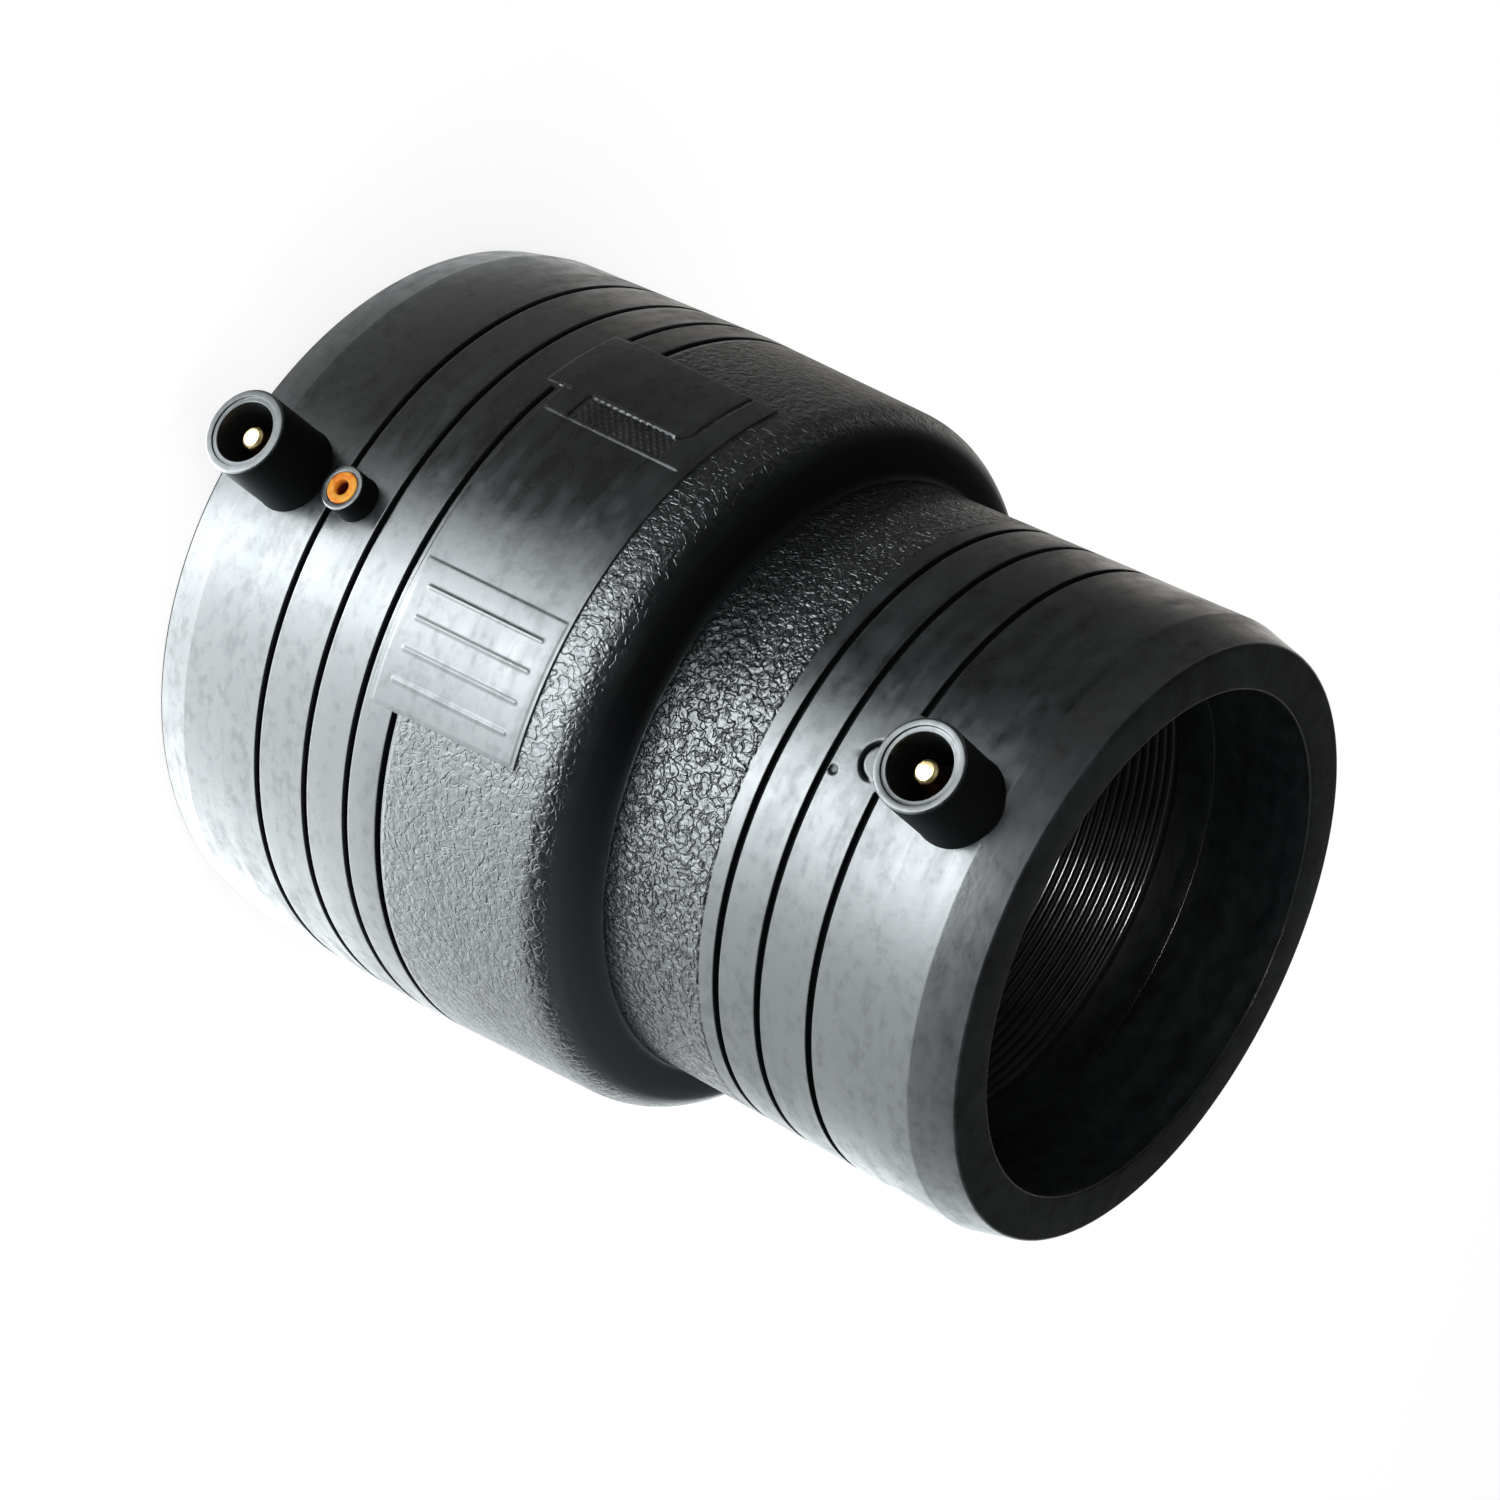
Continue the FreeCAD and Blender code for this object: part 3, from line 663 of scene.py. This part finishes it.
pins = {
    "largePin": {"height": 15.3, "surface": 68.5, "foot": 56.75, "replaces": "terminal_pin_large"},
    "smallPin": {"height": 154.2, "surface": 55.75, "foot": 46.5, "replaces": "terminal_pin_small"},
}
pinForm = {
    "floor": 1.0, "rise": 13.4, "footRadius": 2.5, "radius": 2.0,    # floor and tip above the surface
    "tip": [(2.0, 0.75, 0.3), (1.55, 0.22, 0.5), (0.8, 0.04, 1.5), (0.1, 0, 0)],   # radius, depth, rounding
}
brass = {
    "colour": (0.90, 0.68, 0.34, 1), "dull": (0.50, 0.31, 0.11, 1), "shank": (0.30, 0.11, 0.025, 1),
    "shankFrom": (0.5, 1.3),     # mm below the tip; painted shade down the shank in the shroud's well
    "roughness": 0.27, "patinaRoughness": 0.18, "ringRoughness": 0.08,
    "rings": ((2600, 60, 60), 1.0, 2.0), "ringBump": (0.00001, 0.5),
    "patina": ((1, 1, 1), 420.0, 3.0, 0.6), "patinaFrom": (0.5, 0.75),
}


def brassMaterial():
    b = brass
    s = Shader("turnedBrass")
    rings = s.noise(*b["rings"])
    patina = s.noise(*b["patina"]).rise(*b["patinaFrom"])
    colour = s.mixColour(patina * 0.5, b["colour"], b["dull"])
    # painted shade: the pin is darker below its tip
    colour = s.mixColour(s.mark("below").rise(*b["shankFrom"]), colour, b["shank"])
    rough = b["roughness"] + patina * b["patinaRoughness"] + rings * b["ringRoughness"]
    return s.finish(s.surface(Base_Color=colour, Metallic=1.0, Roughness=rough,
                              Normal=s.bump(rings, *b["ringBump"])))


turnedBrass = brassMaterial()


def makePin(name, place):
    # a thicker foot in the wall, the shank, and a tip of short cones
    f = pinForm
    floor, top = place["surface"] + f["floor"], place["surface"] + f["rise"]
    tip = [(radius, top - depth, rounding) for radius, depth, rounding in f["tip"]]
    outline = softCorners([
        (0.2, place["foot"], 0), (f["footRadius"], place["foot"], 0.25), (f["footRadius"], floor, 0.12),
        (f["radius"], floor, 0.1), *tip,
    ], closed=False)
    piece = lathe(name, outline, place["height"])
    dress(piece, turnedBrass)
    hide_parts(place["replaces"])


for name, place in pins.items():
    makePin(name, place)
print("pins done")


# Fusion indicator

indicator = {
    "height": 31.15, "top": 73.7, "seat": 68.5, "stemEnd": 60.0,
    "head": 2.9, "stem": 1.5, "hole": 1.25, "depth": 3.6,
    "orange": (0.96, 0.43, 0.05, 1), "deep": (0.82, 0.19, 0.012, 1), "holeRed": (0.06, 0.004, 0.002, 1),
    "holeFrom": (0.35, 1.6),     # mm below the top; painted shade in the hole and down the sides
    "mottle": ((1, 1, 1), 420.0, 2.0), "mottleFrom": (0.42, 0.66), "mottleBump": (0.00003, 0.6),
    "roughness": 0.42, "mottleRoughness": 0.15, "refraction": 1.33,
}


def orangeMaterial():
    d = indicator
    s = Shader("orangePlug")
    mottle = s.noise(*d["mottle"]).rise(*d["mottleFrom"])
    colour = s.mixColour(mottle, d["orange"], d["deep"])
    # painted shade: darker below the top, in the hole and down the sides in the boss
    colour = s.mixColour(s.mark("below").rise(*d["holeFrom"]), colour, d["holeRed"])
    rough = d["roughness"] + mottle * d["mottleRoughness"]
    return s.finish(s.surface(Base_Color=colour, Roughness=rough, IOR=d["refraction"],
                              Normal=s.bump(mottle, *d["mottleBump"])))


def makeIndicator():
    # a stepped plug with a blind hole in its head
    d = indicator
    holeEnd = d["top"] - d["depth"]
    outline = softCorners([
        (0.2, d["stemEnd"], 0), (d["stem"], d["stemEnd"], 0.2), (d["stem"], d["seat"], 0.1),
        (d["head"], d["seat"], 0.2), (d["head"], d["top"], 0.3), (d["hole"] + 0.2, d["top"], 0.12),
        (d["hole"], holeEnd, 0.2), (0.2, holeEnd, 0),
    ], closed=False)
    piece = lathe("indicatorPlug", outline, d["height"], 64)
    dress(piece, orangeMaterial())
    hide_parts("fusion_indicator")


makeIndicator()
print("indicator done")


# Heating wire, wound in both bores and led through the wall

wire = {
    "thickness": 1.7, "pitch": 1.76, "sides": 10, "perTurn": 96, "bend": 3.0,
    "large": {"radius": 56.35, "lead": 58.55, "start": 28.35, "turns": 16.0},
    "small": {"radius": 46.10, "lead": 48.30, "start": 121.53, "turns": 10.9},
    "ends": (13.5, 156.0),
    "easeTurn": 14,              # degrees over which a winding eases out to its lead
    "shift": 1.2,                # radians between the windings' leads
    "run": 9,                    # straight up the wall at both ends of the link
    "coating": (0.006, 0.006, 0.007, 1), "sheen": (0.016, 0.017, 0.018, 1),
    "uneven": ((1, 1, 1), 160.0, 2.0), "unevenBump": (0.0001, 0.4),
    "roughness": 0.11, "unevenRoughness": 0.12, "refraction": 1.51,
}


def winding(form):
    # A helix: its azimuth grows evenly, its height by one pitch a turn, and its radius eases out to the
    # lead's radius at each end.
    turn = np.arange(0, form["turns"] * 360, 360 / wire["perTurn"])
    towardsEnd = np.minimum(turn, turn[-1] - turn) / wire["easeTurn"]
    radius = form["lead"] + (form["radius"] - form["lead"]) * ease(towardsEnd)
    height = form["start"] + turn / 360 * wire["pitch"]
    return np.stack([radius, np.radians(turn), height], -1)


def bend(radius, azimuth, height, outOf):
    # a quarter circle on the unrolled wall, out of the axial direction or back into it
    b, t = wire["bend"], np.linspace(0, math.pi / 2, 8)
    if outOf:
        t = t[:-1]
        around, up = b * (1 - np.cos(t)) - b, b * np.sin(t) - b
    else:
        t = t[1:]
        around, up = b * np.sin(t), b * (1 - np.cos(t))
    return np.stack([radius + 0 * t, azimuth + around / radius, height + up], -1)


def straight(start, stop, count=12):
    return np.linspace(start, stop, count)


def wireRoute():
    # (radius, azimuth, height) along the whole wire, from the large terminal to the small one
    bottom, top = wire["ends"]
    large, small = winding(wire["large"]), winding(wire["small"])
    first = bend(wire["large"]["lead"], *large[0, 1:], True)
    out = bend(wire["large"]["lead"], *large[-1, 1:], False)
    small = small + [0, out[-1, 1] + wire["shift"], 0]
    into = bend(wire["small"]["lead"], *small[0, 1:], True)
    last = bend(wire["small"]["lead"], *small[-1, 1:], False)
    above, below = out[-1] + [0, 0, wire["run"]], into[0] - [0, 0, wire["run"]]
    return np.concatenate([
        straight((*first[0, :2], bottom), first[0])[:-1], first, large, out,
        straight(out[-1], above)[1:], straight(above, below, 40)[1:], straight(below, into[0])[1:-1],
        into, small, last, straight(last[-1], (*last[-1, :2], top))[1:],
    ])


def coatingMaterial():
    s = Shader("wireCoating")
    uneven = s.noise(*wire["uneven"])
    colour = s.mixColour(uneven, wire["coating"], wire["sheen"])
    rough = wire["roughness"] + uneven * wire["unevenRoughness"]
    return s.finish(s.surface(Base_Color=colour, Roughness=rough, IOR=wire["refraction"],
                              Normal=s.bump(uneven, *wire["unevenBump"])))


def makeWire():
    # A circle carried along the route, in a frame made of the outward direction and the route's own.
    radius, turn, height = wireRoute().T
    path = turned(radius, turn, height)
    along = unit(np.gradient(path, axis=0))
    outward = turned(1, turn, 0)
    outward = unit(outward - (outward * along).sum(-1, keepdims=True) * along)
    side = np.cross(along, outward)
    angle = np.linspace(0, 2 * math.pi, wire["sides"], endpoint=False)[None, :, None]
    ring = outward[:, None] * np.cos(angle) + side[:, None] * np.sin(angle)
    rings = path[:, None] + ring * wire["thickness"] / 2
    piece = makePiece("woundWire", *capped(rings, path[0], path[-1]))
    dress(piece, coatingMaterial())
    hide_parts("heating_wire")
    print("wire", len(path), "rings")


makeWire()


# Floor, light and camera

studio = {
    "floorRadius": 6.0,          # metres
    "floorColour": (0.32, 0.32, 0.32, 1),
    "floorLift": 0.78,           # how much of the floor's white shows without any lamp
    "worldFill": 0.25,           # the world's white on matt surfaces
    "horizon": (0.0, 0.22),      # in reflections the world's white falls between these heights
    "ceiling": 0.03,             # what is left of it overhead
    # added to that on the lit side: where along y it starts and is full, how much, and where it ends
    "side": (0.25, 0.75, 0.28), "sideTop": (0.35, 0.8),
    # a sheet of light lying beside the socket, seen in reflections only; metres and degrees
    "sheet": {
        "inside": 0.0670, "outside": 4.0, "lift": 0.0006, "rings": 14, "sides": 72,
        "colour": (0.90, 0.97, 1.0, 1), "level": 9.6,
        "fade": (45, 125, 0.25),                         # azimuths, what is left
        "line": (0.11, -0.06, 0.4), "edge": (-0.033, 0.012),
        "strip": (12, 9), "stripLevel": 13.0,            # azimuth and width, as in beam and back
        "beam": (17, 22), "beamLevel": (5.0, 14.0), "beamFrom": (0.17, 0.21),
        "close": (0.062, 0.082, 0.3), "rim": 1.2, "rimFall": 125,
        "far": 1.4, "farFrom": (0.21, 0.32),
        "shadeColour": (1.0, 0.965, 0.92, 1), "shade": 0.38,
        "back": (-145, 25), "backLevel": (1.1, 0.9),     # its level close by and farther out
        "beside": 0.42, "besideX": (0.014, 0.034), "besideY": (-0.04, 0.0),
    },
    # a narrow light through the mouth, which only the windings' ridges mirror
    "windingLight": {"place": (0.0252, 0.0163, 0.235), "aim": (-0.0438, -0.0101, 0.1345), "radius": 0.010,
                     "power": 0.42, "cone": 19, "blend": 0.15},
    "lamps": {
        # size and place in metres, aimed at a point; power in watts
        "overhead": {"size": (1.2, 1.2), "place": (-0.3, 0.2, 1.5), "aim": (0, 0, 0.08), "power": 10.0,
                     "colour": (1, 0.99, 0.97)},
        "leftSide": {"size": (0.5, 0.9), "place": (0.1, 1.2, 0.45), "aim": (0, 0, 0.08), "power": 5.0,
                     "colour": (0.94, 0.98, 1.0)},
        "front": {"size": (0.9, 0.9), "place": (1.0, -0.1, 0.6), "aim": (0, 0, 0.08), "power": 7.0,
                  "colour": (1, 1, 1)},
    },
}
view = {"place": (0.52839, 0.06609, 0.42012), "turn": (-34.669, -49.2174, -130.4982), "lens": 85.0407}


def raysOf(shader):
    # 1 on the camera's own rays, and 1 on reflections and on what is seen through glass
    ray = {link.socket.name: link for link in shader.node("ShaderNodeLightPath")}
    return ray["Is Camera Ray"], ray["Is Glossy Ray"] + ray["Is Transmission Ray"]


def stageObject(name, points, faces, material):
    mesh = bpy.data.meshes.new(name)
    mesh.from_pydata(points.tolist(), [], faces)
    mesh.materials.append(material)
    thing = bpy.data.objects.new(name, mesh)
    bpy.context.scene.collection.objects.link(thing)
    return thing


def makeFloor():
    # a disc that takes shadows and shows white to the camera, to reflections and through glass
    s = Shader("paleFloor")
    camera, mirrored = raysOf(s)
    diffuse = s.node("ShaderNodeBsdfDiffuse", {}, {"Color": studio["floorColour"]})[0]
    white = s.glow((1, 1, 1, 1), (camera + mirrored).clamp(0, 1) * studio["floorLift"])
    angle = np.linspace(0, 2 * math.pi, 96, endpoint=False)
    disc = turned(studio["floorRadius"], angle, 0)
    floor = stageObject("floor", disc, [list(range(96))], s.finish(s.both(diffuse, white)))


def sheetMaterial():
    # The cool glow falls with the root of the distance. It is bright on one side of a bent line across the
    # floor, fades with the azimuth, and has a strip and a beam, each a bell over the azimuth. The faint
    # warm glow falls with the distance and covers all of the sheet. It has a bell behind the socket, and
    # close beside it a part that falls with the distance cubed.
    d = studio["sheet"]
    s = Shader("lightSheet")
    x, y, _ = s.axes(s.place())
    azimuth = s.calc("ARCTAN2", y, x) * (180 / math.pi)
    radius = s.node("ShaderNodeVectorMath", {"operation": "LENGTH"}, {0: s.place()})[0]

    def bell(at, width):
        return s.calc("EXPONENT", 0 - s.calc("POWER", (azimuth - at) / width, 2))

    away = 0.1 / s.calc("MAXIMUM", radius, 0.1)
    root = s.calc("SQRT", s.calc("MINIMUM", away, 0.8))
    start, stop, rest = d["fade"]
    level = (1 - azimuth.rise(start, stop) * (1 - rest)) * d["level"]
    near, far = d["beamLevel"]
    beam = bell(*d["beam"]) * (radius.rise(*d["beamFrom"]) * (far - near) + near)
    glow = (level + bell(*d["strip"]) * d["stripLevel"]) * root + beam
    start, stop, rise = d["close"]
    farther = radius.rise(*d["farFrom"])
    glow = glow * (radius.rise(start, stop) * rise + (1 - rise)) + farther * d["far"]
    cornerX, lowest, slant = d["line"]
    beyond = y + s.calc("MAXIMUM", x - cornerX, lowest) * slant
    rim = s.calc("EXPONENT", (d["inside"] - radius) * d["rimFall"]) * d["rim"]
    cool = s.glow(d["colour"], glow * beyond.rise(*d["edge"]) + rim)
    near, far = d["backLevel"]
    back = bell(*d["back"]) * (away * near + farther * far)
    beside = (1 - x.rise(*d["besideX"])) * (1 - y.rise(*d["besideY"])) * s.calc("POWER", away, 3)
    warm = s.glow(d["shadeColour"], away * d["shade"] + beside * d["beside"] + back)
    return s.finish(s.both(cool, warm))


def makeLightSheet():
    # a flat ring of rings round the socket, wider from one to the next, with radii squared from even steps
    d = studio["sheet"]
    turn = np.linspace(0, 2 * math.pi, d["sides"], endpoint=False)[None, :]
    radius = np.linspace(math.sqrt(d["inside"]), math.sqrt(d["outside"]), d["rings"])[:, None] ** 2
    points = turned(radius, turn, d["lift"]).reshape(-1, 3)
    faces = gridFaces(d["rings"], d["sides"]).tolist()
    sheet = stageObject("lightSheet", points, faces, sheetMaterial())
    sheet.visible_camera = sheet.visible_diffuse = sheet.visible_shadow = False


def makeWorld():
    # White for the camera. In reflections white at the horizon, darker overhead and less so on the lit
    # side, and a dim fill on matt surfaces.
    world = bpy.data.worlds.new("studio")
    bpy.context.scene.world = world
    s = Shader("studioWorld", world)
    _, y, up = s.axes(s.node("ShaderNodeTexCoord")[0])
    start, stop, most = studio["side"]
    left = y.rise(start, stop) * (1 - up.rise(*studio["sideTop"])) * most + studio["ceiling"]
    white = 1 - up.rise(*studio["horizon"]) * (1 - left)
    camera, mirrored = raysOf(s)
    strength = camera + mirrored * white + (1 - camera - mirrored).clamp(0, 1) * studio["worldFill"]
    sky = s.node("ShaderNodeBackground", {}, {"Color": (1, 1, 1, 1), "Strength": strength})[0]
    s.node("ShaderNodeOutputWorld", {}, {"Surface": sky})


def hang(light, lamp):
    # the lamp's object at its place, turned to its aim
    thing = bpy.data.objects.new(light.name, light)
    aim = (Vector(lamp["aim"]) - Vector(lamp["place"])).to_track_quat("-Z", "Y").to_matrix().to_4x4()
    thing.matrix_world = Matrix.Translation(lamp["place"]) @ aim
    thing.visible_camera = False
    bpy.context.scene.collection.objects.link(thing)
    return thing


def makeLamps():
    for name, lamp in studio["lamps"].items():
        light = bpy.data.lights.new(name, "AREA")
        light.shape = "RECTANGLE"
        light.size, light.size_y = lamp["size"]
        light.energy, light.color = lamp["power"], lamp["colour"]
        hang(light, lamp).visible_glossy = False
    lamp = studio["windingLight"]
    spot = bpy.data.lights.new("windingLight", "SPOT")
    spot.energy, spot.shadow_soft_size = lamp["power"], lamp["radius"]
    spot.spot_size, spot.spot_blend = math.radians(lamp["cone"]), lamp["blend"]
    hang(spot, lamp).visible_diffuse = False


def makeCamera():
    lens = bpy.data.cameras.new("photo")
    lens.lens, lens.sensor_width = view["lens"], 36
    lens.clip_start, lens.clip_end = 0.01, 50
    camera = bpy.data.objects.new("photo", lens)
    camera.location = view["place"]
    camera.rotation_euler = [math.radians(a) for a in view["turn"]]
    bpy.context.scene.collection.objects.link(camera)
    bpy.context.scene.camera = camera


makeFloor()
makeLightSheet()
makeWorld()
makeLamps()
makeCamera()
bpy.context.scene.view_settings.view_transform = "Standard"
print("studio done")
